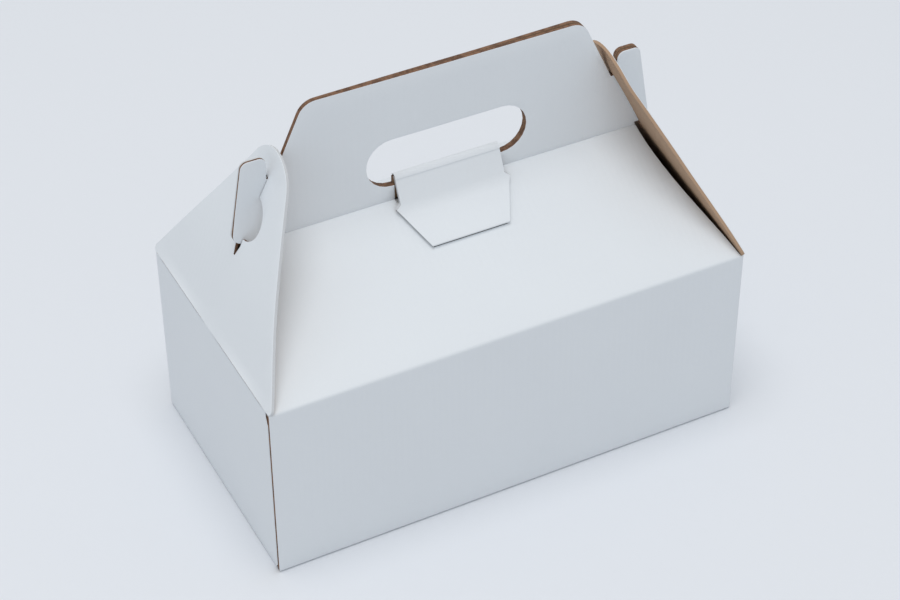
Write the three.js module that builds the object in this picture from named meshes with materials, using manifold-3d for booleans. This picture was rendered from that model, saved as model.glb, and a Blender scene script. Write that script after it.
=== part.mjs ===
// Gable carry box of white-faced corrugated board, closed, standing on its bottom.
// Millimetres, +Z up, origin at the bottom centre. The long walls face -Y (front) and +Y (back).
// The carton is one folded sheet. Its two end flaps and its locking tongue swing on their folds,
// so each is a solid of its own, and so are the four hooks, which bend aside as a flap comes off.

import * as THREE from 'three';
import { mergeVertices } from 'three/addons/utils/BufferGeometryUtils.js';
import Module from 'manifold-3d';

const wasm = await Module();
wasm.setup();

// Box and board
const LENGTH = 240;
const WIDTH = 130;
const WALL_HEIGHT = 95;
const ROOF_RISE = 43;
const BOARD = 1.6;

// Clearances: between solids that touch, and between the two handle panels
const FIT = 0.3;
const PANEL_GAP = 0.3;

// Folds of the sheet
const BOTTOM_FOLD_RADIUS = 1.6;
const CORNER_FOLD_RADIUS = 1.6;
const EAVE_FOLD_RADIUS = 2.2;
const RIDGE_FOLD_RADIUS = 1.2;
const INNER_FOLD_RADIUS = 0.5;

// End flaps: lean, outward bulge, width at the top, rounding, and the strip above the slot
const FLAP_LEAN = THREE.MathUtils.degToRad(24.45);
const FLAP_BULGE = 1.2;
const FLAP_TOP_HALF = 11.2;
const FLAP_TOP_RADIUS = 19;
const FLAP_STRIP = 13.4;

// Gaps between a flap's inner face and the roof's end, which curves in behind it
const ROOF_GAP_EAVE = 0.8;
const ROOF_GAP_LOW = 0.6;
const ROOF_GAP_HIGH = 6.2;
const ROOF_GAP_RIDGE = 2.5;
const ROOF_CURVE_LOW = 14;
const ROOF_CURVE_HIGH = 44;

// Handle panels: height over the ridge fold, corner rounding and their gap to the flaps
const HANDLE_HEIGHT = 64.6;
const HANDLE_CORNER_RADIUS = 9;
const NOTCH_GAP = 1.4;

// Hooks at the ends of the handle panels
const NOTCH_RISE = 31.2;
const NOTCH_CORNER_RADIUS = 0.6;
const HOOK_HEIGHT = 42.8;
const HOOK_BOTTOM_RISE = 1.4;
const HOOK_REACH = 7.3;
const HOOK_HEAD = 11.2;
const HOOK_NOSE_IN = 0.4;
const HOOK_LOW_RADIUS = 4.5;
const HOOK_TOP_RADIUS = 3.5;

// Slot of an end flap, with a narrow tail below it and a finger lobe on one side
const SLOT_HALF = 2.2;
const SLOT_ROOM = 1.2;
const SLOT_TAIL = 5.7;
const SLOT_TAIL_HALF = 0.5;
const SLOT_CORNER_RADIUS = 0.8;
const LOBE_RADIUS = 11;
const LOBE_RISE = 14.3;
const LOBE_OFFSET = 0.5;

// Hand hole through both handle panels
const HOLE_LENGTH = 80;
const HOLE_HEIGHT = 25;
const HOLE_RISE = 7.6;

// Locking tongue, cut from the back handle panel and folded forward through the hand hole
const TONGUE_ROOT_RISE = 3.4;
const TONGUE_NECK_HALF = 26.2;
const TONGUE_SHOULDER_HALF = 28.6;
const TONGUE_TIP_HALF = 18.4;
const TONGUE_LANDING = 2.4;
const TONGUE_REACH = 26;
const TONGUE_TUCK = 6;
const TONGUE_FOLD_RADIUS = 2.5;
const TONGUE_TIP_TAPER = 1.2;
const NECK_PLAY = 0.8;
const NECK_DROP = 1.2;
const SLIT_PLAY = 0.4;

// Glue tab inside the front left corner, and the lock seams of the two-layer bottom
const TAB_WIDTH = 30;
const TAB_END_SLOPE = 12;
const TAB_MARGIN = 2;
const BOTTOM_LAYERS = 2;
const SEAM_WIDTH = 0.6;
const SEAM_DEPTH = 0.5;
const SEAM_OFFSET = 8;
const LOCK_TAB_HALF = 38;
const LOCK_TAB_REACH = 22;
const LOCK_CORNER = 30;
const RELIEF_DEPTH = 0.6;

// Fineness of the arcs, and the reach of cutting shapes past the box
const ARC_SEGMENTS = 5;
const EDGE_SEGMENTS = 10;
const MERGE_DISTANCE = 1e-5;
const ARC_CLEARANCE = 0.01;
const ROUNDEST_SHARE = 0.98;
const FAR = 400;
const FLAP_CUT_DEPTH = 50;

// Values worked out from the dimensions above
const halfLength = LENGTH / 2;
const halfWidth = WIDTH / 2;
const roofSlope = ROOF_RISE / halfWidth;
const roofAngle = Math.atan(roofSlope);
const roofDrop = BOARD / Math.cos(roofAngle);
const gapHalf = PANEL_GAP / 2;
const panelHalf = gapHalf + BOARD;
const roofHeight = (y) => WALL_HEIGHT + roofSlope * (halfWidth - Math.abs(y));
const ridgeHeight = roofHeight(panelHalf);
const roofRun = halfWidth - panelHalf;
const floorThickness = BOTTOM_LAYERS * BOARD;
const handleTop = ridgeHeight + HANDLE_HEIGHT;
const holeBottom = ridgeHeight + HOLE_RISE;
const holeTop = holeBottom + HOLE_HEIGHT;
const notchHeight = ridgeHeight + NOTCH_RISE;

// A flap's outer face is an arc that starts at the hinge line and crosses its chord at the notch
const flapChord = (notchHeight - WALL_HEIGHT) / Math.cos(FLAP_LEAN);
const flapArcRadius = (flapChord * flapChord / 4 + FLAP_BULGE * FLAP_BULGE) / (2 * FLAP_BULGE);
const flapBaseLean = FLAP_LEAN - Math.asin(flapChord / (2 * flapArcRadius));
const flapBow = (s) => 4 * FLAP_BULGE * (s / flapChord) * (1 - s / flapChord);
const alongFlap = (z) => (z - WALL_HEIGHT) / Math.cos(FLAP_LEAN);
const flapOuter = (z) => halfLength - (z - WALL_HEIGHT) * Math.tan(FLAP_LEAN)
  + flapBow(alongFlap(z)) / Math.cos(FLAP_LEAN);
const flapInner = (z) => flapOuter(z) - BOARD / Math.cos(FLAP_LEAN);

// The handle panels' sides run straight up from the roof's end, inside the flaps
const ridgeHalf = flapInner(ridgeHeight) - ROOF_GAP_RIDGE;
const sideSlope = (ridgeHalf - flapInner(notchHeight) + NOTCH_GAP) / (notchHeight - ridgeHeight);
const handleSide = (z) => ridgeHalf - sideSlope * (z - ridgeHeight);

const hookBottom = ridgeHeight + HOOK_BOTTOM_RISE;
const slotTop = alongFlap(notchHeight + FIT + BOARD * Math.sin(FLAP_LEAN));
const slotShoulder = alongFlap(hookBottom) - SLOT_ROOM;
const flapLength = slotTop + FLAP_STRIP;

const X = new THREE.Vector3(1, 0, 0);
const Y = new THREE.Vector3(0, 1, 0);
const Z = new THREE.Vector3(0, 0, 1);
const flapUp = new THREE.Vector3(-Math.sin(FLAP_LEAN), 0, Math.cos(FLAP_LEAN));
const hingePlace = new THREE.Vector3(halfLength, 0, WALL_HEIGHT);

// A closed outline whose corners are [u, v, radius]; without a radius the corner is sharp.
function roundedOutline(corners) {
  const shape = new THREE.Shape();
  corners.forEach(([u, v, radius = 0], index) => {
    const corner = new THREE.Vector2(u, v);
    const before = corners[(index + corners.length - 1) % corners.length];
    const after = corners[(index + 1) % corners.length];
    const back = new THREE.Vector2(before[0], before[1]).sub(corner).normalize();
    const ahead = new THREE.Vector2(after[0], after[1]).sub(corner).normalize();
    const half = Math.acos(THREE.MathUtils.clamp(back.dot(ahead), -1, 1)) / 2;
    const run = radius / Math.tan(half);
    const start = corner.clone().addScaledVector(back, run);
    if (index === 0) shape.moveTo(start.x, start.y);
    else shape.lineTo(start.x, start.y);
    if (radius > 0) {
      const end = corner.clone().addScaledVector(ahead, run);
      const middle = back.clone().add(ahead).normalize();
      const centre = corner.clone().addScaledVector(middle, radius / Math.sin(half));
      const from = Math.atan2(start.y - centre.y, start.x - centre.x);
      const to = Math.atan2(end.y - centre.y, end.x - centre.x);
      shape.absarc(centre.x, centre.y, radius, from, to, back.cross(ahead) > 0);
    }
  });
  shape.closePath();
  return shape;
}

const mirrored = (corners) => corners.map(([u, v, radius]) => [-u, v, radius]).reverse();
const bothSides = (right) => roundedOutline([...right, ...mirrored(right)]);

function toManifold(geometry) {
  geometry.deleteAttribute('normal');
  geometry.deleteAttribute('uv');
  const merged = mergeVertices(geometry, MERGE_DISTANCE);
  const vertProperties = new Float32Array(merged.attributes.position.array);
  const triVerts = new Uint32Array(merged.index.array);
  return new wasm.Manifold(new wasm.Mesh({ numProp: 3, vertProperties, triVerts }));
}

// Sweeps an outline drawn along `across` and `up` through a depth, low to high, on their normal.
function sweep(shape, across, up, low, high, origin = new THREE.Vector3()) {
  const geometry = new THREE.ExtrudeGeometry(shape, {
    depth: high - low, bevelEnabled: false, curveSegments: ARC_SEGMENTS,
  });
  const normal = across.clone().cross(up);
  const place = new THREE.Matrix4().makeBasis(across, up, normal);
  place.setPosition(origin.clone().addScaledVector(normal, low));
  geometry.applyMatrix4(place);
  return toManifold(geometry);
}

const sweepX = (shape, low, high) => sweep(shape, Y, Z, low, high);
const sweepY = (shape, low, high) => sweep(shape, X, Z, -high, -low);
const sweepZ = (shape, low, high) => sweep(shape, X, Y, low, high);

function toGeometry(solid) {
  const { numProp, vertProperties, triVerts } = solid.getMesh();
  const positions = vertProperties.filter((value, index) => index % numProp < 3);
  const geometry = new THREE.BufferGeometry();
  geometry.setAttribute('position', new THREE.BufferAttribute(positions, 3));
  geometry.setIndex(new THREE.BufferAttribute(triVerts, 1));
  geometry.computeVertexNormals();
  return geometry;
}

// Sections of the folded sheet across the box: walls, roofs and the two handle panels.
function outerSection() {
  return bothSides([
    [halfWidth, 0, BOTTOM_FOLD_RADIUS],
    [halfWidth, WALL_HEIGHT, EAVE_FOLD_RADIUS],
    [panelHalf, ridgeHeight, RIDGE_FOLD_RADIUS],
    [panelHalf, handleTop],
  ]);
}

function innerSection() {
  const wall = halfWidth - BOARD;
  return bothSides([
    [wall, floorThickness],
    [wall, roofHeight(wall) - roofDrop, INNER_FOLD_RADIUS],
    [gapHalf, roofHeight(gapHalf) - roofDrop],
    [gapHalf, FAR],
  ]);
}

// Front view of the sheet: box walls, curved roof ends, straight handle sides, rounded top.
function frontOutline() {
  const across = [0, ROOF_CURVE_LOW, ROOF_CURVE_HIGH, roofRun];
  const gaps = [ROOF_GAP_EAVE, ROOF_GAP_LOW, ROOF_GAP_HIGH, ROOF_GAP_RIDGE];
  const controls = across.map((run, index) => {
    const z = WALL_HEIGHT + roofSlope * run;
    return new THREE.Vector2(flapInner(z) - gaps[index], z);
  });
  const roofEnd = new THREE.CubicBezierCurve(...controls).getPoints(EDGE_SEGMENTS);
  return bothSides([
    [halfLength, 0, BOTTOM_FOLD_RADIUS],
    [halfLength, WALL_HEIGHT - FIT],
    ...roofEnd.map((point) => [point.x, point.y]),
    [handleSide(handleTop), handleTop, HANDLE_CORNER_RADIUS],
  ]);
}

// Plan of the box: three folded corners, and the raw edge of the seam at the front left.
function planOutline() {
  return roundedOutline([
    [-halfLength, -halfWidth],
    [halfLength, -halfWidth, CORNER_FOLD_RADIUS],
    [halfLength, halfWidth, CORNER_FOLD_RADIUS],
    [-halfLength, halfWidth, CORNER_FOLD_RADIUS],
  ]);
}

// Lengthways outline of the hollow: the end walls' tops are cut square to the leaning flaps.
function hollowOutline() {
  const fall = Math.tan(flapBaseLean);
  const wallTop = WALL_HEIGHT - FIT / Math.cos(flapBaseLean);
  return bothSides([
    [halfLength - BOARD, floorThickness],
    [halfLength - BOARD, wallTop - BOARD * fall],
    [halfLength + BOARD, wallTop + BOARD * fall],
    [halfLength + BOARD, FAR],
  ]);
}

// A round-ended opening; the ends are a hair under a half circle so that their arcs stay apart.
function holeOutline() {
  const radius = HOLE_HEIGHT / 2 - ARC_CLEARANCE;
  return bothSides([
    [HOLE_LENGTH / 2, holeBottom, radius],
    [HOLE_LENGTH / 2, holeTop, radius],
  ]);
}

// Section of the tongue in Y and Z. Its lower face runs from the fold in the back panel over
// the ridge to the front roof, down the roof, and into the slit on an arc about its own hinge.
const roofOut = new THREE.Vector2(-Math.sin(roofAngle), Math.cos(roofAngle));
const roofDown = new THREE.Vector2(-Math.cos(roofAngle), -Math.sin(roofAngle));
const onRoof = (down, off) => new THREE.Vector2(-panelHalf, ridgeHeight)
  .addScaledVector(roofDown, down).addScaledVector(roofOut, off);
const tongueHinge = new THREE.Vector2(0, holeBottom + TONGUE_ROOT_RISE + FIT);
const tongueLanding = onRoof(TONGUE_LANDING, FIT);
const tongueBend = onRoof(TONGUE_REACH - BOARD, FIT);
const bendArm = tongueBend.clone().sub(tongueHinge);
const tuckOut = bendArm.clone().normalize();
const tuckDown = new THREE.Vector2(-tuckOut.y, tuckOut.x);
const tongueSteep = tongueLanding.clone().sub(tongueHinge).normalize();
const steepOut = new THREE.Vector2(tongueSteep.y, -tongueSteep.x);

// The point off the corner of two straight runs at which their outer faces meet.
function outerCorner(corner, outBefore, outAfter, thickness) {
  const middle = outBefore.clone().add(outAfter).normalize();
  return corner.clone().addScaledVector(middle, thickness / middle.dot(outBefore));
}

function tongueSection() {
  const tip = tongueBend.clone().addScaledVector(tuckDown, TONGUE_TUCK);
  const landingOut = outerCorner(tongueLanding, steepOut, roofOut, BOARD);
  const bendOut = outerCorner(tongueBend, roofOut, tuckOut, BOARD);
  const rootOut = tongueHinge.clone().addScaledVector(steepOut, BOARD);
  const tipOut = tip.clone().addScaledVector(tuckOut, BOARD);
  return roundedOutline([
    [tongueHinge.x, tongueHinge.y],
    [rootOut.x, rootOut.y],
    [landingOut.x, landingOut.y, TONGUE_FOLD_RADIUS],
    [bendOut.x, bendOut.y, BOARD],
    [tipOut.x, tipOut.y],
    [tip.x, tip.y],
    [tongueBend.x, tongueBend.y],
    [tongueLanding.x, tongueLanding.y, TONGUE_FOLD_RADIUS + BOARD],
  ]);
}

// The tongue from the front: a neck, shoulders that spread over the ridge, and a tapered tip.
function tongueOutline() {
  const shoulder = onRoof(TONGUE_LANDING, 0).y;
  const slit = onRoof(TONGUE_REACH, 0).y;
  return bothSides([
    [TONGUE_TIP_HALF - TONGUE_TIP_TAPER, 0],
    [TONGUE_TIP_HALF - TONGUE_TIP_TAPER, slit - TONGUE_TUCK],
    [TONGUE_TIP_HALF, slit],
    [TONGUE_SHOULDER_HALF, shoulder],
    [TONGUE_NECK_HALF, shoulder + BOARD],
    [TONGUE_NECK_HALF, FAR],
  ]);
}

// The opening that the tongue leaves in the back panel above its fold, as long as it lies flat.
function tongueBlank() {
  const root = holeBottom + TONGUE_ROOT_RISE;
  const shoulder = root + tongueHinge.distanceTo(tongueLanding);
  const slit = shoulder + TONGUE_REACH - TONGUE_LANDING;
  return bothSides([
    [TONGUE_NECK_HALF + FIT, root],
    [TONGUE_NECK_HALF + FIT, shoulder - BOARD],
    [TONGUE_SHOULDER_HALF + FIT, shoulder],
    [TONGUE_TIP_HALF + FIT, slit],
    [TONGUE_TIP_HALF - TONGUE_TIP_TAPER, slit + TONGUE_TUCK],
  ]);
}

// The slit in the front roof, wide enough for the straight tip to swing in on its arc.
function tongueSlit() {
  const arcRoom = TONGUE_TUCK * TONGUE_TUCK / (2 * bendArm.length());
  const corner = (out, down) => tongueBend.clone()
    .addScaledVector(tuckOut, out).addScaledVector(tuckDown, down).toArray();
  const widest = BOARD + arcRoom + SLIT_PLAY;
  const section = roundedOutline([
    corner(-SLIT_PLAY, -BOARD),
    corner(widest, -BOARD),
    corner(widest, TONGUE_TUCK),
    corner(-SLIT_PLAY, TONGUE_TUCK),
  ]);
  const half = TONGUE_TIP_HALF + NECK_PLAY;
  return sweepX(section, -half, half);
}

function handOpenings() {
  const frontHole = sweepY(holeOutline(), -FAR, 0);
  const neckHalf = TONGUE_NECK_HALF + NECK_PLAY;
  const neck = bothSides([[neckHalf, ridgeHeight - NECK_DROP], [neckHalf, holeBottom + BOARD]]);
  const rootHalf = TONGUE_NECK_HALF + FIT;
  const root = bothSides([[rootHalf, 0], [rootHalf, holeBottom + TONGUE_ROOT_RISE]]);
  const backHole = sweepY(holeOutline(), 0, FAR)
    .subtract(sweepY(root, -FAR, FAR))
    .add(sweepY(tongueBlank(), 0, FAR));
  return frontHole.add(sweepY(neck, -FAR, 0)).add(backHole);
}

// A glue tab that the left wall carries, folded in behind the front wall.
function glueTab() {
  const left = BOARD / 2 - halfLength;
  const right = left + TAB_WIDTH;
  const low = floorThickness + TAB_MARGIN;
  const high = WALL_HEIGHT - EAVE_FOLD_RADIUS - TAB_MARGIN;
  const outline = roundedOutline([
    [left, low],
    [right, low + TAB_END_SLOPE],
    [right, high - TAB_END_SLOPE],
    [left, high],
  ]);
  return sweepY(outline, BOARD / 2 - halfWidth, 2 * BOARD - halfWidth);
}

// A straight groove of the seam's width on the underside, from one plan point to another.
function seamGroove([fromX, fromY], [toX, toY]) {
  const from = new THREE.Vector2(fromX, fromY);
  const run = new THREE.Vector2(toX, toY).sub(from);
  const side = new THREE.Vector2(-run.y, run.x).setLength(SEAM_WIDTH / 2);
  const past = run.clone().setLength(SEAM_WIDTH / 2);
  const start = from.clone().sub(past);
  const end = from.clone().add(run).add(past);
  const outline = roundedOutline([
    start.clone().sub(side).toArray(),
    end.clone().sub(side).toArray(),
    end.clone().add(side).toArray(),
    start.clone().add(side).toArray(),
  ]);
  return sweepZ(outline, -BOARD, SEAM_DEPTH);
}

// The edge of the outer bottom flap, with slanted corners and a lock tab in the middle.
function bottomSeams() {
  const near = -SEAM_OFFSET;
  const points = [
    [-halfLength, near - LOCK_CORNER],
    [LOCK_CORNER - halfLength, near],
    [-LOCK_TAB_HALF, near],
    [-LOCK_TAB_HALF, near + LOCK_TAB_REACH],
    [LOCK_TAB_HALF, near + LOCK_TAB_REACH],
    [LOCK_TAB_HALF, near],
    [halfLength - LOCK_CORNER, near],
    [halfLength, near - LOCK_CORNER],
  ];
  const grooves = points.slice(1).map((point, index) => seamGroove(points[index], point));
  return grooves.reduce((all, groove) => all.add(groove));
}

// The valley beside the front wall's raw edge, where the left wall folds in to its glue tab.
function seamRelief() {
  const line = BOARD - halfWidth;
  const outline = roundedOutline([
    [-halfLength - BOARD, line],
    [-halfLength + RELIEF_DEPTH, line],
    [-halfLength - BOARD, line + BOARD],
  ]);
  return sweepZ(outline, -BOARD, WALL_HEIGHT + BOARD);
}

// The folded sheet: walls, bottom, roofs and handle panels.
function carton() {
  const outer = sweepX(outerSection(), -halfLength, halfLength)
    .intersect(sweepY(frontOutline(), -halfWidth, halfWidth))
    .intersect(sweepZ(planOutline(), 0, FAR));
  const hollow = sweepX(innerSection(), -FAR, FAR)
    .intersect(sweepY(hollowOutline(), -FAR, FAR));
  return outer
    .subtract(hollow)
    .subtract(handOpenings())
    .subtract(tongueSlit())
    .subtract(bottomSeams())
    .subtract(seamRelief())
    .add(glueTab());
}

function tongue() {
  return sweepX(tongueSection(), -halfWidth, halfWidth)
    .intersect(sweepY(tongueOutline(), -FAR, FAR));
}

// Section of the right flap along the box: a board bent to the arc of its outer face.
function flapSection() {
  const start = flapBaseLean;
  const end = start + flapLength / flapArcRadius;
  const centre = new THREE.Vector2(
    halfLength - flapArcRadius * Math.cos(start),
    WALL_HEIGHT - flapArcRadius * Math.sin(start),
  );
  const shape = new THREE.Shape();
  shape.absarc(centre.x, centre.y, flapArcRadius, start, end, false);
  shape.absarc(centre.x, centre.y, flapArcRadius - BOARD, end, start, true);
  shape.closePath();
  return shape;
}

// Face of a flap, drawn in Y and up the flap: a gable with a broad round top.
function flapOutline() {
  const baseHalf = halfWidth - (roofDrop + FIT) / roofSlope;
  const taper = (halfWidth - FLAP_TOP_HALF) / flapLength;
  const topCorner = Math.PI / 2 + Math.atan(taper);
  const roundest = ROUNDEST_SHARE * FLAP_TOP_HALF * Math.tan(topCorner / 2);
  return bothSides([
    [baseHalf, -BOARD],
    [baseHalf, (halfWidth - baseHalf) / taper],
    [FLAP_TOP_HALF, flapLength, Math.min(FLAP_TOP_RADIUS, roundest)],
  ]);
}

function flapSlot() {
  return bothSides([
    [SLOT_TAIL_HALF, slotShoulder - SLOT_TAIL],
    [SLOT_HALF, slotShoulder],
    [SLOT_HALF, slotTop, SLOT_CORNER_RADIUS],
  ]);
}

function flapLobe() {
  const shape = new THREE.Shape();
  shape.absarc(-LOBE_OFFSET, slotShoulder + LOBE_RISE, LOBE_RADIUS, -Math.PI / 2, Math.PI / 2);
  shape.closePath();
  return shape;
}

function endFlap() {
  const throughFlap = (shape) => sweep(
    shape, Y, flapUp, -FLAP_CUT_DEPTH, FLAP_CUT_DEPTH, hingePlace,
  );
  return sweepY(flapSection(), -halfWidth, halfWidth)
    .intersect(throughFlap(flapOutline()))
    .subtract(throughFlap(flapSlot()))
    .subtract(throughFlap(flapLobe()));
}

// A hook of the right end: it leans over the flap's strip and leaves a notch for it.
function hook(low, high) {
  const rootAt = (z) => handleSide(z) + FIT * Math.hypot(1, sideSlope);
  const hookTop = ridgeHeight + HOOK_HEIGHT;
  const notchSide = flapOuter(notchHeight) + FIT;
  const outline = roundedOutline([
    [rootAt(hookBottom), hookBottom],
    [ridgeHalf + HOOK_REACH, hookBottom, HOOK_LOW_RADIUS],
    [notchSide + HOOK_HEAD, hookTop, HOOK_TOP_RADIUS],
    [notchSide - HOOK_NOSE_IN, hookTop, HOOK_TOP_RADIUS],
    [notchSide, notchHeight, NOTCH_CORNER_RADIUS],
    [rootAt(notchHeight), notchHeight],
  ]);
  return sweepY(outline, low, high);
}

function board(name, solid, colour, roughness) {
  const material = new THREE.MeshStandardMaterial({ color: colour, roughness, metalness: 0 });
  const mesh = new THREE.Mesh(toGeometry(solid), material);
  mesh.name = name;
  return mesh;
}

// One end of the box: the flap on its fold, and the two hooks that pass through its slot. The
// right end is drawn, and the left end is the same three pieces turned half a turn.
function boxEnd(side, near, far, turn) {
  const end = new THREE.Group();
  end.add(board(`${side}_end_flap`, endFlap(), 0xe2e7ec, 0.6));
  end.add(board(`${side}_${near}_hook`, hook(-panelHalf, -gapHalf), 0xdde2e8, 0.6));
  end.add(board(`${side}_${far}_hook`, hook(gapHalf, panelHalf), 0xdde2e8, 0.6));
  end.rotation.z = turn;
  return end;
}

const gableBox = new THREE.Group();
gableBox.add(board('carton', carton(), 0xe4e9ee, 0.6));
gableBox.add(board('locking_tongue', tongue(), 0xe0e6ea, 0.6));
gableBox.add(boxEnd('right', 'front', 'back', 0));
gableBox.add(boxEnd('left', 'back', 'front', Math.PI));

export default gableBox;
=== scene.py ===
"""Looks of the gable box: white-faced corrugated board, folded, hooked and tongued shut.

Metres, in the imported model's own frame. The front wall faces -Y and the right end faces +X.
"""

import math

import bpy
from mathutils import Matrix, Vector


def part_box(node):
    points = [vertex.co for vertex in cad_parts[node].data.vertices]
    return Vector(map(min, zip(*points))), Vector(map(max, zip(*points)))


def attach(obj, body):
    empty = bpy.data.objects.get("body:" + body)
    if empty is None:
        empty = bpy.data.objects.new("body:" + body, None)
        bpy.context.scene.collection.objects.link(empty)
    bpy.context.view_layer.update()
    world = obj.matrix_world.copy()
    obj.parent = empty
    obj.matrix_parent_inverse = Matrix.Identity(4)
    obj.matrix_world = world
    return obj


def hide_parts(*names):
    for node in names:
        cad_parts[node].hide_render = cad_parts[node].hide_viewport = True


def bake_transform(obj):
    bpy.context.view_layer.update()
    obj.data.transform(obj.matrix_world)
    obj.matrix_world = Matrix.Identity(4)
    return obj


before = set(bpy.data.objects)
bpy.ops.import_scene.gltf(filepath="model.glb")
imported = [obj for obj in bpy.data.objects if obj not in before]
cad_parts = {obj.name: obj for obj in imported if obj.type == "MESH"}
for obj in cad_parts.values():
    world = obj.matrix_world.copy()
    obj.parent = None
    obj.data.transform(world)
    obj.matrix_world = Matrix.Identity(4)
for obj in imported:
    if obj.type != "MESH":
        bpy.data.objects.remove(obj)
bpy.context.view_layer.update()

# Box and board
BOX_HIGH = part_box("carton")[1]
HALF_LENGTH = BOX_HIGH.x
HALF_WIDTH = BOX_HIGH.y
HANDLE_TOP = BOX_HIGH.z
WALL_TOP = 0.095
ROOF_RISE = 0.043
BOARD = 0.0016
PANEL_GAP = 0.0003
FLOOR_LAYERS = 2
BOTTOM_RADIUS = 0.0016
CORNER_RADIUS = 0.0016
EAVE_RADIUS = 0.0022
CREASE_HALF = 0.0008
CREASE_SINK = 0.0003

# End flaps
FLAP_LEAN = math.radians(24.45)
FLAP_BULGE = 0.0012
FLAP_TOP_HALF = 0.0112
FLAP_TOP_RADIUS = 0.019
TIP_ROUNDNESS = 0.98
RIGHT_STRIP = 0.0158
TIP_CURL = 0.0026
LEFT_STRIP = 0.0130
FLAP_BASE_HALF = 0.0670
FLAP_BASE_RADIUS = 0.0020
SLOT_HALF = 0.0022
SLOT_ROOM = 0.0012
SLOT_TAIL = 0.0057
SLOT_TAIL_HALF = 0.0005
SLOT_CORNER_RADIUS = 0.0008
LOBE_RADIUS = 0.011
LOBE_RISE = 0.0143
LOBE_OFFSET = 0.0005

# Roof ends, handle sides and hooks. Each gap keeps a roof's end off its flap, at a run up the roof.
ROOF_RUNS = (0.0, 0.014, 0.044)
ROOF_GAPS = (0.0004, 0.0006, 0.0062, 0.0025)
NOTCH_GAP = 0.0014
NOTCH_RISE = 0.0312
NOTCH_PLAY = 0.0003
HOOK_HEIGHT = 0.0428
HOOK_BOTTOM_RISE = 0.0014
HOOK_REACH = 0.0073
HOOK_HEAD = 0.0112
HOOK_NOSE_IN = 0.0004
HOOK_LOW_RADIUS = 0.0045
HOOK_TOP_RADIUS = 0.0035
HANDLE_CORNER_RADIUS = 0.009

# Hand hole and locking tongue
HOLE_HALF = 0.040
HOLE_HEIGHT = 0.025
HOLE_RISE = 0.0076
ROUNDEST_SHARE = 0.999
ROOT_RISE = 0.0034
NECK_HALF = 0.0262
SHOULDER_HALF = 0.0286
TIP_HALF = 0.0184
TIP_TAPER = 0.0012
LANDING = 0.0062
SHOULDER_DOWN = 0.0024
REACH = 0.026
TUCK = 0.006
FOLD_RADIUS = 0.0120
BEND_RADIUS = 0.0006
NECK_PLAY = 0.0003
NECK_DROP = 0.0012
CREST_RISE = 0.00352
SLIT_PLAY = 0.0003
BOARD_PLAY = 0.0003

# Glue tab, corner seam and the seams of the bottom
TAB_WIDTH = 0.030
TAB_SLOPE = 0.012
TAB_MARGIN = 0.002
TAB_GLUE = 0.000032
SEAM_WIDTH = 0.0006
SEAM_DEPTH = 0.0005
SEAM_OFFSET = 0.008
LOCK_HALF = 0.038
LOCK_REACH = 0.022
LOCK_CORNER = 0.030
RELIEF_DEPTH = 0.0009
GAP_WIDTH = 0.0036
GAP_HEIGHT = 0.0080

# How the folded sheet has settled. Walls bow and roofs sag, and the roofs curl down near the flaps.
# The handle leans to the left, its back panel splays at the right, and both are pressed at the left.
HANDLE_LEAN = -0.0015
WALL_BOW = 0.0007
BOW_FOCUS = 6
ROOF_SAG = 0.0008
SAG_AT_ENDS = 0.4
SPLAY = 0.0014
PRESS = 0.42
PRESS_RISE = 0.020
LEFT_CURL = 0.0024
RIGHT_CURL = 0.0008
CURL_START = 0.060
CURL_LENGTH = 0.040

# Fold strips, the liner pressed round the cuts, and fineness
CREASE_REACH = 0.0024
CREASE_SKIN = 0.00012
CREASE_DEPTH = 0.0003
SHEET_CRUSH = 0.0008
HOOK_CRUSH = 0.00142
FLAP_CRUSH = 0.00135
CRUSH_SEGMENTS = 3
ARC_STEPS = 6
EDGE_STEPS = 14
CUT_STEP = 0.008
BOARD_SMOOTHING = math.radians(32)
CREASE_SMOOTHING = math.radians(60)
FACING = 0.9
EDGE_ON = 0.5
X, Y, Z = range(3)

# Cutters reach well past the box, each pair to depths of its own, so that no two share a face
FAR = 0.4

ROOF_SLOPE = ROOF_RISE / HALF_WIDTH
ROOF_ANGLE = math.atan(ROOF_SLOPE)
ROOF_DROP = BOARD / math.cos(ROOF_ANGLE)
GAP_HALF = PANEL_GAP / 2
PANEL_HALF = GAP_HALF + BOARD
ROOF_RUN = HALF_WIDTH - PANEL_HALF
FLOOR_TOP = FLOOR_LAYERS * BOARD


def roof_height(y):
    return WALL_TOP + ROOF_SLOPE * (HALF_WIDTH - abs(y))


RIDGE = roof_height(PANEL_HALF)
HOLE_BOTTOM = RIDGE + HOLE_RISE
HOLE_TOP = HOLE_BOTTOM + HOLE_HEIGHT
NOTCH = RIDGE + NOTCH_RISE
ROOT = HOLE_BOTTOM + ROOT_RISE

# A flap's outer face is an arc from the fold that crosses its chord at the notch
FLAP_CHORD = (NOTCH - WALL_TOP) / math.cos(FLAP_LEAN)
FLAP_ARC = (FLAP_CHORD ** 2 / 4 + FLAP_BULGE ** 2) / (2 * FLAP_BULGE)
FLAP_START = FLAP_LEAN - math.asin(FLAP_CHORD / (2 * FLAP_ARC))
ARC_CENTRE = Vector((HALF_LENGTH - FLAP_ARC * math.cos(FLAP_START), 0,
                     WALL_TOP - FLAP_ARC * math.sin(FLAP_START)))


def along_flap(z):
    return (z - WALL_TOP) / math.cos(FLAP_LEAN)


def flap_outer(z):
    share = along_flap(z) / FLAP_CHORD
    bow = 4 * FLAP_BULGE * share * (1 - share)
    return HALF_LENGTH - (z - WALL_TOP) * math.tan(FLAP_LEAN) + bow / math.cos(FLAP_LEAN)


def flap_inner(z):
    return flap_outer(z) - BOARD / math.cos(FLAP_LEAN)


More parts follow.
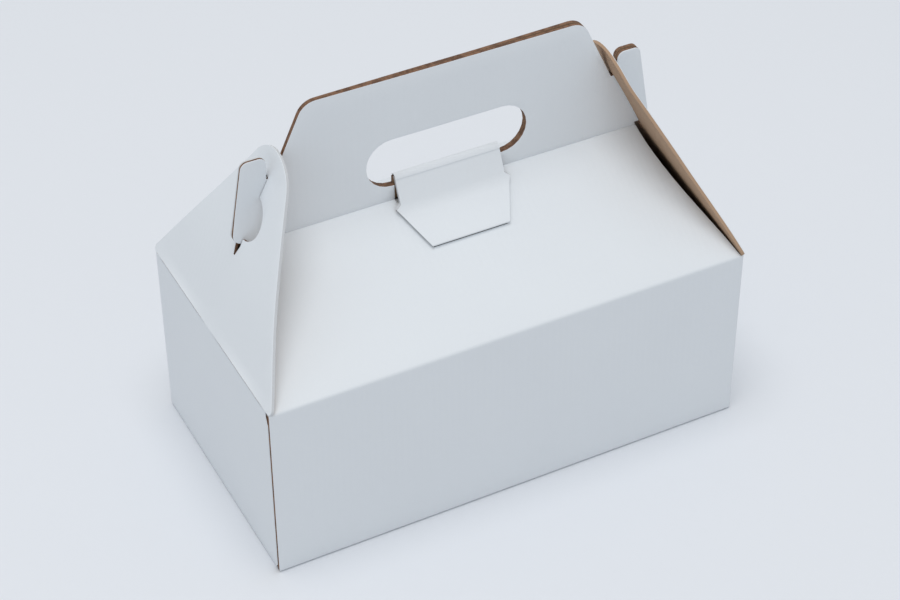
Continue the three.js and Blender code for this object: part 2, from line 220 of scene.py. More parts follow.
RIDGE_HALF = flap_inner(RIDGE) - ROOF_GAPS[-1]
SIDE_SLOPE = (RIDGE_HALF - flap_inner(NOTCH) + NOTCH_GAP) / (NOTCH - RIDGE)
HOOK_BOTTOM = RIDGE + HOOK_BOTTOM_RISE
SLOT_TOP = along_flap(NOTCH + NOTCH_PLAY + BOARD * math.sin(FLAP_LEAN))
SLOT_SHOULDER = along_flap(HOOK_BOTTOM) - SLOT_ROOM


def handle_side(z):
    """Half the length of the handle panels at a height, along their slanted sides."""
    return RIDGE_HALF - SIDE_SLOPE * (z - RIDGE)


# Outlines

def rounded(corners):
    """Points of a closed outline whose corners are (u, v, radius), or (u, v) where sharp."""
    points = []
    for index, (u, v, *rest) in enumerate(corners):
        corner = Vector((u, v))
        if not rest:
            points.append(corner)
            continue
        back = (Vector(corners[index - 1][:2]) - corner).normalized()
        ahead = (Vector(corners[(index + 1) % len(corners)][:2]) - corner).normalized()
        half = back.angle(ahead) / 2
        start = corner + back * rest[0] / math.tan(half)
        centre = corner + (back + ahead).normalized() * rest[0] / math.sin(half)
        end = corner + ahead * rest[0] / math.tan(half)
        turn = (start - centre).angle_signed(end - centre)
        for step in range(ARC_STEPS + 1):
            arm = (start - centre).copy()
            arm.rotate(Matrix.Rotation(-turn * step / ARC_STEPS, 2))
            points.append(centre + arm)
    return points


def curve(controls, steps):
    """Points of a smooth curve from the first of four controls to the last."""
    points = []
    for index in range(steps + 1):
        t = index / steps
        weights = ((1 - t) ** 3, 3 * t * (1 - t) ** 2, 3 * t * t * (1 - t), t ** 3)
        points.append(sum((control * weight for control, weight in zip(controls, weights)),
                          Vector((0, 0))))
    return points


def both_sides(right):
    """A closed outline from its right half, mirrored about u = 0."""
    left = [(-u, v, *rest) for u, v, *rest in reversed(right)]
    return rounded([*right, *left])


# Each view places an outline's point (u, v), at the depth w of an extrusion

def front_view(u, v, w):
    return Vector((u, w, v))


def end_view(u, v, w):
    return Vector((w, u, v))


def plan_view(u, v, w):
    return Vector((u, v, w))


# Modelling steps

def make_active(piece):
    bpy.ops.object.select_all(action="DESELECT")
    piece.select_set(True)
    bpy.context.view_layer.objects.active = piece


def prism(name, outline, view, low, high, material):
    """A disc whose rim is moved onto the outline, extruded from low to high."""
    bpy.ops.object.select_all(action="DESELECT")
    bpy.ops.mesh.primitive_circle_add(vertices=len(outline), radius=BOARD, fill_type="NGON")
    piece = bpy.context.object
    piece.name = name
    piece.data.name = name
    piece.data.materials.append(material)
    for vertex, (u, v) in zip(piece.data.vertices, outline):
        vertex.co = view(u, v, low)
    bpy.ops.object.mode_set(mode="EDIT")
    bpy.ops.mesh.select_all(action="SELECT")
    push = view(0, 0, high) - view(0, 0, low)
    bpy.ops.mesh.extrude_region_move(TRANSFORM_OT_translate={"value": push})
    bpy.ops.mesh.select_all(action="SELECT")
    bpy.ops.mesh.normals_make_consistent(inside=False)
    bpy.ops.object.mode_set(mode="OBJECT")
    return piece


def shape_with(piece, tool, operation="DIFFERENCE"):
    """Cuts, trims or joins a piece with a tool. The new faces take the tool's material."""
    make_active(piece)
    modifier = piece.modifiers.new(tool.name, "BOOLEAN")
    modifier.operation = operation
    modifier.object = tool
    modifier.solver = "EXACT"
    modifier.material_mode = "TRANSFER"
    bpy.ops.object.modifier_apply(modifier=modifier.name)
    bpy.data.objects.remove(tool)
    return piece


def paint_faces(piece, material, chosen):
    """Gives a material to the faces that the rule chooses by their centre and normal."""
    if material.name not in piece.data.materials:
        piece.data.materials.append(material)
    index = piece.data.materials.find(material.name)
    for face in piece.data.polygons:
        if chosen(face.center, face.normal):
            face.material_index = index


def crush_cuts(piece, width, chosen):
    """Rounds the white liner over the cut edges, as the cutting die presses it."""
    make_active(piece)
    mesh = piece.data
    liner = mesh.materials.find(white.name)
    rims = {mesh.materials.find(rim.name) for rim in (cut_edge, crushed, kraft)}
    beside = {}
    for face in mesh.polygons:
        face.select = False
        for key in face.edge_keys:
            beside.setdefault(key, []).append(face.material_index)
    for vertex in mesh.vertices:
        vertex.select = False
    for edge in mesh.edges:
        ends = [mesh.vertices[index].co for index in edge.vertices]
        sides = beside[edge.key]
        is_cut = liner in sides and not rims.isdisjoint(sides)
        edge.select = is_cut and chosen((ends[0] + ends[1]) / 2)
    bpy.context.tool_settings.mesh_select_mode = (False, True, False)
    bpy.ops.object.mode_set(mode="EDIT")
    bpy.ops.mesh.bevel(offset=width, segments=CRUSH_SEGMENTS, material=liner, clamp_overlap=True)
    bpy.ops.object.mode_set(mode="OBJECT")
    bpy.context.tool_settings.mesh_select_mode = (True, False, False)


def bisect_every(piece, axis, low, high, step=CUT_STEP):
    """Cuts a piece right through at even steps, so that it can bow and bend."""
    make_active(piece)
    normal = Vector((0, 0, 0))
    normal[axis] = 1
    count = math.ceil((high - low) / step)
    bpy.ops.object.mode_set(mode="EDIT")
    for index in range(1, count):
        bpy.ops.mesh.select_all(action="SELECT")
        place = normal * (low + (high - low) * index / count)
        bpy.ops.mesh.bisect(plane_co=place, plane_no=normal)
    bpy.ops.object.mode_set(mode="OBJECT")


def smooth_step(value):
    """Rises smoothly from 0 to 1."""
    value = min(max(value, 0), 1)
    return value * value * (3 - 2 * value)


def settled(place):
    """Where a point of the ideal box lies once the folded sheet has settled."""
    x, y, z = place
    along = math.cos(math.pi * x / (2 * HALF_LENGTH))
    across = math.cos(math.pi * y / (2 * HALF_WIDTH))
    up = math.sin(math.pi * min(max(z / WALL_TOP, 0), 1))
    near_side = (abs(y) / HALF_WIDTH) ** BOW_FOCUS
    near_end = (abs(x) / HALF_LENGTH) ** BOW_FOCUS
    move = Vector((0, 0, 0))
    move.y += math.copysign(WALL_BOW * along * up * near_side, y)
    move.x += math.copysign(WALL_BOW * across * up * near_end, x)
    up_roof = math.sin(math.pi * min((HALF_WIDTH - abs(y)) / ROOF_RUN, 1))
    if z > WALL_TOP:
        inside = 1 - smooth_step((abs(x) - NECK_HALF) / HALF_LENGTH)
        move.z -= ROOF_SAG * up_roof * max(along, 0) * (SAG_AT_ENDS + (1 - SAG_AT_ENDS) * inside)
    if z > WALL_TOP and abs(y) > PANEL_HALF:
        curl = LEFT_CURL if x < 0 else RIGHT_CURL
        move.z -= curl * up_roof * smooth_step((abs(x) - CURL_START) / CURL_LENGTH)
    move.x += HANDLE_LEAN * smooth_step((z - WALL_TOP) / (RIDGE - WALL_TOP))
    if y > 0:
        far_up = smooth_step((z - RIDGE) / (HANDLE_TOP - RIDGE))
        move.y += SPLAY * far_up * smooth_step(x / RIDGE_HALF)
    if z > RIDGE and abs(y) < 2 * PANEL_HALF:
        move.y -= y * PRESS * smooth_step((z - RIDGE) / PRESS_RISE) * smooth_step(-x / RIDGE_HALF)
    return Vector(place) + move


def settle(piece):
    for vertex in piece.data.vertices:
        vertex.co = settled(vertex.co)


def finish_board(piece, body):
    """Rests a finished piece on its body, with crisp cuts and smooth folds."""
    settle(piece)
    make_active(piece)
    bpy.ops.object.shade_smooth_by_angle(angle=BOARD_SMOOTHING)
    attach(piece, body)


# Papers: scales are per metre, and the finest grain stands GRAIN_DEPTH high at full bump
FIBRE_SCALE = 900
FIBRE_DETAIL = 4
CLOUD_SCALE = 22
CLOUD_DETAIL = 2
CLOUD_HEIGHT = 2.0
FLUTE_PITCH = 0.0032
END_FACING = 0.7
GRAIN_DEPTH = 0.001
LINER_SPECULAR = 0.3
# Painted shade: the hollow flutes of a cut edge are darkened in colour, in patches of this scale,
# between these shares of the noise
FLUTE_SHADE_SCALE = 420
FLUTE_SHADE_START = 0.42
FLUTE_SHADE_FULL = 0.62
TORN_DEPTH = 0.0003
CUT_ROUGHNESS = 0.8
CUT_SPECULAR = 0.2


# Node helpers

def put_node(tree, kind, label, **settings):
    node = tree.nodes.new(kind)
    node.label = label
    for key, value in settings.items():
        setattr(node, key, value)
    return node


def mix_colours(tree, label):
    """A node that mixes two colours: its sockets for the share, both colours and the result."""
    node = put_node(tree, "ShaderNodeMix", label, data_type="RGBA")
    factor, first, second, mixed = node.inputs[0], node.inputs[6], node.inputs[7], node.outputs[2]
    return factor, first, second, mixed


def new_group(name, inputs, outputs):
    """A node group with named float inputs, given with their defaults, and float outputs."""
    tree = bpy.data.node_groups.new(name, "ShaderNodeTree")
    tree.interface.new_socket("Position", in_out="INPUT", socket_type="NodeSocketVector")
    for label, default in inputs.items():
        socket = tree.interface.new_socket(label, in_out="INPUT", socket_type="NodeSocketFloat")
        socket.default_value = default
    for label in outputs:
        tree.interface.new_socket(label, in_out="OUTPUT", socket_type="NodeSocketFloat")
    return tree, tree.nodes.new("NodeGroupInput"), tree.nodes.new("NodeGroupOutput")


def math_node(tree, operation, *values):
    node = put_node(tree, "ShaderNodeMath", operation.lower(), operation=operation)
    for socket, value in zip(node.inputs, values):
        if isinstance(value, (int, float)):
            socket.default_value = value
        else:
            tree.links.new(value, socket)
    return node.outputs[0]


def noise(tree, position, scale, detail, label):
    node = put_node(tree, "ShaderNodeTexNoise", label)
    node.inputs["Detail"].default_value = detail
    tree.links.new(scale, node.inputs["Scale"])
    tree.links.new(position, node.inputs["Vector"])
    return node.outputs["Fac"]


def paper_group():
    """Paper: broad cloudy tone, fine fibres, and the two together as a height."""
    tree, given, result = new_group("paper", {"Fibre Scale": FIBRE_SCALE, "Cloud Scale": CLOUD_SCALE},
                                    ("Fibre", "Cloud", "Height"))
    position = given.outputs["Position"]
    fibre = noise(tree, position, given.outputs["Fibre Scale"], FIBRE_DETAIL, "fibres")
    cloud = noise(tree, position, given.outputs["Cloud Scale"], CLOUD_DETAIL, "clouds")
    tree.links.new(fibre, result.inputs["Fibre"])
    tree.links.new(cloud, result.inputs["Cloud"])
    height = math_node(tree, "ADD", fibre, math_node(tree, "MULTIPLY", cloud, CLOUD_HEIGHT))
    tree.links.new(height, result.inputs["Height"])
    return tree


def flute_group():
    """The washboard of the flutes under the liner, running up every wall and panel."""
    tree, given, result = new_group("flutes", {"Pitch": FLUTE_PITCH}, ("Wave",))
    tree.interface.new_socket("Facing", in_out="INPUT", socket_type="NodeSocketVector")
    place = put_node(tree, "ShaderNodeSeparateXYZ", "place")
    facing = put_node(tree, "ShaderNodeSeparateXYZ", "facing")
    tree.links.new(given.outputs["Position"], place.inputs[0])
    tree.links.new(given.outputs["Facing"], facing.inputs[0])
    is_end = math_node(tree, "GREATER_THAN", math_node(tree, "ABSOLUTE", facing.outputs[0]),
                       END_FACING)
    is_side = math_node(tree, "SUBTRACT", 1, is_end)
    run = math_node(tree, "ADD",
                    math_node(tree, "MULTIPLY", place.outputs[0], is_side),
                    math_node(tree, "MULTIPLY", place.outputs[1], is_end))
    turns = math_node(tree, "MULTIPLY", math_node(tree, "DIVIDE", run, given.outputs["Pitch"]),
                      2 * math.pi)
    wave = math_node(tree, "SINE", turns)
    tree.links.new(wave, result.inputs["Wave"])
    return tree


def board_material(name, colour, dark, roughness, groups, fibre_bump, flute_bump, mottle):
    """A paper liner: mottled colour, fibre grain, and the flutes that show through it."""
    material = bpy.data.materials.new(name)
    material.use_nodes = True
    tree = material.node_tree
    shader = tree.nodes["Principled BSDF"]
    shader.inputs["Roughness"].default_value = roughness
    shader.inputs["Specular IOR Level"].default_value = LINER_SPECULAR
    coordinates = put_node(tree, "ShaderNodeTexCoord", "object position")
    position = coordinates.outputs["Object"]
    paper = put_node(tree, "ShaderNodeGroup", "paper", node_tree=groups["paper"])
    flutes = put_node(tree, "ShaderNodeGroup", "flutes", node_tree=groups["flutes"])
    tree.links.new(position, paper.inputs["Position"])
    tree.links.new(position, flutes.inputs["Position"])
    tree.links.new(coordinates.outputs["Normal"], flutes.inputs["Facing"])
    tone = math_node(tree, "MULTIPLY", paper.outputs["Cloud"], mottle)
    tone = math_node(tree, "ADD", tone, math_node(tree, "MULTIPLY", paper.outputs["Fibre"], mottle / 2))
    factor, first, second, mixed = mix_colours(tree, "mottled colour")
    first.default_value = (*colour, 1)
    second.default_value = (*dark, 1)
    tree.links.new(tone, factor)
    tree.links.new(mixed, shader.inputs["Base Color"])
    height = math_node(tree, "ADD",
                       math_node(tree, "MULTIPLY", paper.outputs["Height"], fibre_bump),
                       math_node(tree, "MULTIPLY", flutes.outputs["Wave"], flute_bump))
    bump = put_node(tree, "ShaderNodeBump", "grain and flutes")
    bump.inputs["Distance"].default_value = GRAIN_DEPTH
    tree.links.new(height, bump.inputs["Height"])
    tree.links.new(bump.outputs["Normal"], shader.inputs["Normal"])
    return material


def edge_material(name, colour, dark, groups):
    """A cut edge of the board: brown liners, with painted shade darkening the hollow flutes between
    them.
    """
    material = bpy.data.materials.new(name)
    material.use_nodes = True
    tree = material.node_tree
    shader = tree.nodes["Principled BSDF"]
    shader.inputs["Roughness"].default_value = CUT_ROUGHNESS
    shader.inputs["Specular IOR Level"].default_value = CUT_SPECULAR
    coordinates = put_node(tree, "ShaderNodeTexCoord", "object position")
    position = coordinates.outputs["Object"]
    paper = put_node(tree, "ShaderNodeGroup", "paper", node_tree=groups["paper"])
    paper.inputs["Cloud Scale"].default_value = FLUTE_SHADE_SCALE
    tree.links.new(position, paper.inputs["Position"])
    # Painted shade for the hollow flutes: the noise mixes the brown towards the darker colour
    painted_shade = put_node(tree, "ShaderNodeMapRange", "flute pockets")
    painted_shade.inputs["From Min"].default_value = FLUTE_SHADE_START
    painted_shade.inputs["From Max"].default_value = FLUTE_SHADE_FULL
    tree.links.new(paper.outputs["Cloud"], painted_shade.inputs["Value"])
    factor, first, second, mixed = mix_colours(tree, "painted_shade")
    first.default_value = (*colour, 1)
    second.default_value = (*dark, 1)
    tree.links.new(painted_shade.outputs["Result"], factor)
    tree.links.new(mixed, shader.inputs["Base Color"])
    bump = put_node(tree, "ShaderNodeBump", "torn fibres", invert=True)
    bump.inputs["Distance"].default_value = TORN_DEPTH
    tree.links.new(painted_shade.outputs["Result"], bump.inputs["Height"])
    tree.links.new(bump.outputs["Normal"], shader.inputs["Normal"])
    return material


groups = {"paper": paper_group(), "flutes": flute_group()}
white = board_material("white_liner", (0.775, 0.812, 0.845), (0.715, 0.75, 0.788), roughness=0.55,
                       groups=groups, fibre_bump=0.010, flute_bump=0.006, mottle=0.45)
kraft = board_material("kraft_liner", (0.49, 0.335, 0.225), (0.37, 0.248, 0.163), roughness=0.75,
                       groups=groups, fibre_bump=0.03, flute_bump=0.02, mottle=0.8)
crushed = board_material("crushed_edge", (0.68, 0.71, 0.74), (0.52, 0.53, 0.54), roughness=0.7,
                         groups=groups, fibre_bump=0.05, flute_bump=0.0, mottle=0.7)
cut_edge = edge_material("cut_edge", (0.225, 0.125, 0.077), (0.125, 0.070, 0.046), groups)


# The folded sheet

def outer_section():
    return both_sides([
        (HALF_WIDTH, 0, BOTTOM_RADIUS),
        (HALF_WIDTH, WALL_TOP, EAVE_RADIUS),
        (PANEL_HALF + CREASE_HALF, roof_height(PANEL_HALF + CREASE_HALF)),
        (PANEL_HALF - CREASE_SINK, RIDGE - CREASE_SINK),
        (PANEL_HALF, RIDGE + CREASE_HALF),
        (PANEL_HALF, FAR / 2 + HANDLE_TOP),
    ])


def inner_section():
    wall = HALF_WIDTH - BOARD
    return both_sides([
        (wall, FLOOR_TOP),
        (wall, roof_height(wall) - ROOF_DROP),
        (GAP_HALF, roof_height(GAP_HALF) - ROOF_DROP),
        (GAP_HALF, 2 * FAR),
    ])


def roof_end():
    """The roof's end, an even curve that draws in behind the end flap."""
    runs = (*ROOF_RUNS, ROOF_RUN)
    controls = []
    for run, gap in zip(runs, ROOF_GAPS):
        z = WALL_TOP + ROOF_SLOPE * run
        controls.append(Vector((flap_inner(z) - gap, z)))
    return curve(controls, EDGE_STEPS)


def front_outline():
    """The closed box from the front, without the end flaps: walls, roofs, hooks and handle."""
    notch_side = flap_outer(NOTCH) + NOTCH_PLAY
    hook_top = RIDGE + HOOK_HEIGHT
    return both_sides([
        (HALF_LENGTH, 0, BOTTOM_RADIUS),
        (HALF_LENGTH, WALL_TOP),
        *[tuple(point) for point in roof_end()],
        (handle_side(HOOK_BOTTOM), HOOK_BOTTOM),
        (RIDGE_HALF + HOOK_REACH, HOOK_BOTTOM, HOOK_LOW_RADIUS),
        (notch_side + HOOK_HEAD, hook_top, HOOK_TOP_RADIUS),
        (notch_side - HOOK_NOSE_IN, hook_top, HOOK_TOP_RADIUS),
        (notch_side, NOTCH, PANEL_GAP),
        (handle_side(NOTCH), NOTCH),
        (handle_side(HANDLE_TOP), HANDLE_TOP, HANDLE_CORNER_RADIUS),
    ])


def corner_waste(turn_x, turn_y):
    """What a folded upright corner rounds off, in plan."""
    near_x = HALF_LENGTH - CORNER_RADIUS
    near_y = HALF_WIDTH - CORNER_RADIUS
    outline = [Vector((near_x, HALF_WIDTH + BOARD)), Vector((HALF_LENGTH + BOARD, HALF_WIDTH + BOARD)),
               Vector((HALF_LENGTH + BOARD, near_y))]
    for step in range(ARC_STEPS + 1):
        angle = math.pi / 2 * step / ARC_STEPS
        outline.append(Vector((near_x + CORNER_RADIUS * math.cos(angle),
                               near_y + CORNER_RADIUS * math.sin(angle))))
    outline = [Vector((turn_x * point.x, turn_y * point.y)) for point in outline]
    return prism("corner", outline, plan_view, -BOARD, WALL_TOP, white)


def hollow():
    """The room inside: open at the gable ends, above the end walls."""
    inside = prism("hollow", inner_section(), end_view, -FAR, FAR, kraft)
    fall = BOARD * math.tan(FLAP_START)
    ends = both_sides([
        (HALF_LENGTH - BOARD, -FAR),
        (HALF_LENGTH - BOARD, WALL_TOP - fall - NOTCH_PLAY),
        (HALF_LENGTH + BOARD, WALL_TOP + fall - NOTCH_PLAY),
        (HALF_LENGTH + BOARD, 3 * FAR),
    ])
    return shape_with(inside, prism("ends", ends, front_view, -2 * FAR, 2 * FAR, kraft), "INTERSECT")


def hole_outline():
    radius = HOLE_HEIGHT / 2 * ROUNDEST_SHARE
    return both_sides([(HOLE_HALF, HOLE_BOTTOM, radius), (HOLE_HALF, HOLE_TOP, radius)])


# The tongue's section in Y and Z: from its fold over the ridge, down the roof and into the slit
ROOF_OUT = Vector((-math.sin(ROOF_ANGLE), math.cos(ROOF_ANGLE)))
ROOF_DOWN = Vector((-math.cos(ROOF_ANGLE), -math.sin(ROOF_ANGLE)))


def on_roof(down, off):
    return Vector((-PANEL_HALF, RIDGE)) + ROOF_DOWN * down + ROOF_OUT * off


TONGUE_FOLD = Vector((0, ROOT + BOARD_PLAY))
TONGUE_LANDING = on_roof(LANDING, BOARD_PLAY)
TONGUE_BEND = on_roof(REACH - BOARD, BOARD_PLAY)
TUCK_OUT = (TONGUE_BEND - TONGUE_FOLD).normalized()
TUCK_DOWN = Vector((-TUCK_OUT.y, TUCK_OUT.x))
STEEP = (TONGUE_LANDING - TONGUE_FOLD).normalized()
STEEP_OUT = Vector((STEEP.y, -STEEP.x))


def outer_corner(corner, before, after):
    """A corner of the tongue's outer face, one board out from the inner corner."""
    middle = (before + after).normalized()
    return corner + middle * BOARD / middle.dot(before)


def tongue_section():
    tip = TONGUE_BEND + TUCK_DOWN * TUCK
    return rounded([
        tuple(TONGUE_FOLD),
        tuple(TONGUE_FOLD + STEEP_OUT * BOARD),
        (*outer_corner(TONGUE_LANDING, STEEP_OUT, ROOF_OUT), FOLD_RADIUS),
        (*outer_corner(TONGUE_BEND, ROOF_OUT, TUCK_OUT), BEND_RADIUS),
        tuple(tip + TUCK_OUT * BOARD),
        tuple(tip),
        tuple(TONGUE_BEND),
        (*TONGUE_LANDING, FOLD_RADIUS + BOARD),
    ])


def tongue_outline():
    shoulder = on_roof(SHOULDER_DOWN, 0).y
    slit = on_roof(REACH, 0).y
    return both_sides([
        (TIP_HALF - TIP_TAPER, 0),
        (TIP_HALF - TIP_TAPER, slit - TUCK),
        (TIP_HALF, slit),
        (SHOULDER_HALF, shoulder),
        (NECK_HALF, shoulder + BOARD),
        (NECK_HALF, FAR),
    ])


def tongue_blank():
    """What the tongue leaves open in the back panel, as long as it lies flat."""
    shoulder = ROOT + (TONGUE_FOLD - TONGUE_LANDING).length
    slit = shoulder + REACH - LANDING
    return both_sides([
        (NECK_HALF + BOARD_PLAY, ROOT),
        (NECK_HALF + BOARD_PLAY, shoulder - BOARD),
        (SHOULDER_HALF + BOARD_PLAY, shoulder),
        (TIP_HALF + BOARD_PLAY, slit),
        (TIP_HALF - TIP_TAPER, slit + TUCK),
    ])


def tongue_slit():
    """The slit in the front roof that the tongue's tip goes into."""
    widest = BOARD + SLIT_PLAY
    corners = [(-SLIT_PLAY, -BOARD), (widest, -BOARD), (widest, TUCK), (-SLIT_PLAY, TUCK)]
    section = [TONGUE_BEND + TUCK_OUT * out + TUCK_DOWN * down for out, down in corners]
    half = TIP_HALF + NECK_PLAY
    return prism("slit", section, end_view, -half, half, cut_edge)


def cut_hand_holes(sheet):
    """The hole through both panels, the notch for the neck, and the tongue's own opening."""
    shape_with(sheet, prism("front_hole", hole_outline(), front_view, -FAR, 0, cut_edge))
    neck_half = NECK_HALF + NECK_PLAY
    neck = both_sides([(neck_half, RIDGE - NECK_DROP), (neck_half, HOLE_BOTTOM + BOARD)])
    shape_with(sheet, prism("neck_notch", neck, front_view, -FAR, 0, crushed))
    back = prism("back_hole", hole_outline(), front_view, 0, FAR, cut_edge)
    root_half = NECK_HALF + BOARD_PLAY
    root = both_sides([(root_half, 0), (root_half, ROOT)])
    shape_with(back, prism("root", root, front_view, -FAR, 2 * FAR, cut_edge))
    blank = prism("blank", tongue_blank(), front_view, GAP_HALF / 2, FAR / 2, cut_edge)
    shape_with(back, blank, "UNION")
    shape_with(sheet, back)


def bottom_seams():
    """The edge of the outer bottom flap, with slanted corners and a lock tab in the middle."""
    near = -SEAM_OFFSET
    points = [
        (-HALF_LENGTH - BOARD, near - LOCK_CORNER - BOARD),
        (LOCK_CORNER - HALF_LENGTH, near),
        (-LOCK_HALF, near),
        (-LOCK_HALF, near + LOCK_REACH),
        (LOCK_HALF, near + LOCK_REACH),
        (LOCK_HALF, near),
        (HALF_LENGTH - LOCK_CORNER, near),
        (HALF_LENGTH + BOARD, near - LOCK_CORNER - BOARD),
    ]
    for start, end in zip(points, points[1:]):
        run = Vector(end) - Vector(start)
        side = run.orthogonal().normalized() * SEAM_WIDTH / 2
        past = run.normalized() * SEAM_WIDTH / 2
        low = Vector(start) - past
        high = Vector(end) + past
        outline = [low - side, high - side, high + side, low + side]
        yield prism("seam", outline, plan_view, -BOARD, SEAM_DEPTH, cut_edge)


def corner_relief():
    """The valley beside the front wall's raw edge, where the left wall folds in behind it."""
    line = BOARD - HALF_WIDTH
    outline = [Vector((-HALF_LENGTH - BOARD, line)),
               Vector((-HALF_LENGTH + RELIEF_DEPTH, line)),
               Vector((-HALF_LENGTH - BOARD, line + BOARD))]
    return prism("relief", outline, plan_view, -BOARD, WALL_TOP + BOARD, white)


def corner_gaps():
    """The dark gaps at the top and the foot of the glued corner."""
    edge = BOARD - HALF_WIDTH
    inside = 2 * BOARD - HALF_LENGTH
    top = [Vector((edge, WALL_TOP + BOARD)), Vector((edge + GAP_WIDTH, WALL_TOP + BOARD)),
           Vector((edge, WALL_TOP - GAP_HEIGHT))]
    foot = [Vector((edge, -BOARD)), Vector((edge + GAP_WIDTH, -BOARD)), Vector((edge, GAP_HEIGHT / 2))]
    yield prism("top_gap", top, end_view, -FAR, inside, cut_edge)
    yield prism("foot_gap", foot, end_view, -FAR, inside, cut_edge)


def at_front_wall_end(centre, normal):
    """The front wall's raw end at the glued corner."""
    return (centre.x < BOARD / 4 - HALF_LENGTH and centre.y < BOARD - HALF_WIDTH
            and centre.z < WALL_TOP)


def on_hook(place):
    """Beyond the handle's slanted side, where only the hooks are."""
    return place.z > RIDGE and abs(place.x) > handle_side(place.z) + BOARD


def on_other_cuts(place):
    """The handle, hand hole, tongue opening and roof ends, but not the hooks or the bottom."""
    is_cut_part = place.z > RIDGE or abs(place.x) > RIDGE_HALF
    return is_cut_part and not on_hook(place) and place.z > FLOOR_TOP


def at_left_back_hook_rim(centre, normal):
    """The cut rim of the back hook at the left, which is pressed white all round."""
    return centre.x < 0 < centre.y and on_hook(centre) and abs(normal.y) < EDGE_ON


def folded_sheet():
    """Walls, bottom, roofs and the two hooked handle panels, as one sheet of board."""
    sheet = prism("folded_sheet", outer_section(), end_view, -FAR, FAR, white)
    shape_with(sheet, prism("cut", front_outline(), front_view, -FAR, FAR, cut_edge), "INTERSECT")
    for turn_x, turn_y in ((1, -1), (1, 1), (-1, 1)):
        shape_with(sheet, corner_waste(turn_x, turn_y))
    paint_faces(sheet, white, lambda centre, normal: centre.z < WALL_TOP)
    shape_with(sheet, hollow())
    cut_hand_holes(sheet)
    shape_with(sheet, tongue_slit())
    for seam in bottom_seams():
        shape_with(sheet, seam)
    shape_with(sheet, corner_relief())
    for gap in corner_gaps():
        shape_with(sheet, gap)
    paint_faces(sheet, cut_edge, at_front_wall_end)
    crush_cuts(sheet, HOOK_CRUSH, on_hook)
    crush_cuts(sheet, SHEET_CRUSH, on_other_cuts)
    paint_faces(sheet, crushed, at_left_back_hook_rim)
    bisect_every(sheet, X, -HALF_LENGTH, HALF_LENGTH)
    bisect_every(sheet, Y, -HALF_WIDTH, HALF_WIDTH)
    bisect_every(sheet, Z, 0, HANDLE_TOP)
    finish_board(sheet, "box")
    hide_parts("carton", "right_front_hook", "right_back_hook",
                "left_front_hook", "left_back_hook")


def glue_tab():
    """The tab that the left wall carries, glued behind the front wall."""
    left = BOARD / 2 - HALF_LENGTH
    right = left + TAB_WIDTH
    low = FLOOR_TOP + TAB_MARGIN
    high = WALL_TOP - EAVE_RADIUS - TAB_MARGIN
    outline = rounded([(left, low), (right, low + TAB_SLOPE), (right, high - TAB_SLOPE), (left, high)])
    tab = prism("glue_tab", outline, front_view,
                BOARD + TAB_GLUE - HALF_WIDTH, 2 * BOARD - HALF_WIDTH, cut_edge)
    paint_faces(tab, kraft, lambda centre, normal: normal.y > FACING)
    finish_board(tab, "box")


# End flaps

def flap_outline(length):
    taper = (FLAP_BASE_HALF - FLAP_TOP_HALF) / length
    corner = math.pi / 2 + math.atan(taper)
    radius = min(FLAP_TOP_RADIUS, TIP_ROUNDNESS * FLAP_TOP_HALF * math.tan(corner / 2))
    return both_sides([
        (FLAP_BASE_HALF, 0, FLAP_BASE_RADIUS),
        (FLAP_TOP_HALF, length, radius),
    ])


def slot_outline():
    return both_sides([
        (SLOT_TAIL_HALF, SLOT_SHOULDER - SLOT_TAIL),
        (SLOT_HALF, SLOT_SHOULDER),
        (SLOT_HALF, SLOT_TOP, SLOT_CORNER_RADIUS),
    ])


def lobe_outline():
    points = []
    for step in range(2 * EDGE_STEPS + 1):
        angle = math.pi * (step / (2 * EDGE_STEPS) - 0.5)
        centre = Vector((-LOBE_OFFSET, SLOT_SHOULDER + LOBE_RISE))
        points.append(centre + Vector((math.cos(angle), math.sin(angle))) * LOBE_RADIUS)
    return points


def bent_flap(place):
    """Bends a point of the flat flap, drawn at the origin, onto the arc of the right flap."""
    angle = FLAP_START + place.z / FLAP_ARC
    past = max(place.z - SLOT_TOP, 0) / RIGHT_STRIP
    reach = FLAP_ARC + place.x + TIP_CURL * past * past
    return ARC_CENTRE + Vector((reach * math.cos(angle), place.y, reach * math.sin(angle)))


def end_flap(side, strip, rim):
    """A flap of the right end, cut flat and bent; the left one is turned half a turn."""
    length = SLOT_TOP + strip
    flap = prism(f"{side}_flap_board", flap_outline(length), end_view, -BOARD, 0, rim)
    paint_faces(flap, white, lambda centre, normal: normal.x > FACING)
    paint_faces(flap, kraft, lambda centre, normal: normal.x < -FACING)
    for name, outline in (("slot", slot_outline()), ("lobe", lobe_outline())):
        shape_with(flap, prism(name, outline, end_view, -FAR, FAR, cut_edge))
    crush_cuts(flap, FLAP_CRUSH, lambda place: place.z > BOARD)
    bisect_every(flap, Z, 0, length, CUT_STEP / 2)
    bisect_every(flap, Y, -HALF_WIDTH, HALF_WIDTH)
    for vertex in flap.data.vertices:
        vertex.co = bent_flap(vertex.co)
    if side == "left":
        flap.data.transform(Matrix.Rotation(math.pi, 4, "Z"))
    finish_board(flap, f"{side}_flap")
    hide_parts(f"{side}_end_flap")


# Tongue

def locking_tongue():
    tongue = prism("tongue_board", tongue_section(), end_view, -HALF_WIDTH, HALF_WIDTH, kraft)
    paint_faces(tongue, white, lambda centre, normal: normal.y < 0 or normal.z > 0)
    outline = prism("tongue_cut", tongue_outline(), front_view, -FAR, FAR, crushed)
    shape_with(tongue, outline, "INTERSECT")
    bisect_every(tongue, X, -SHOULDER_HALF, SHOULDER_HALF, CUT_STEP / 2)
    bisect_every(tongue, Y, -HALF_WIDTH, 0, CUT_STEP / 2)
    finish_board(tongue, "tongue")
    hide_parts("locking_tongue")


# The liner that carries on over each fold

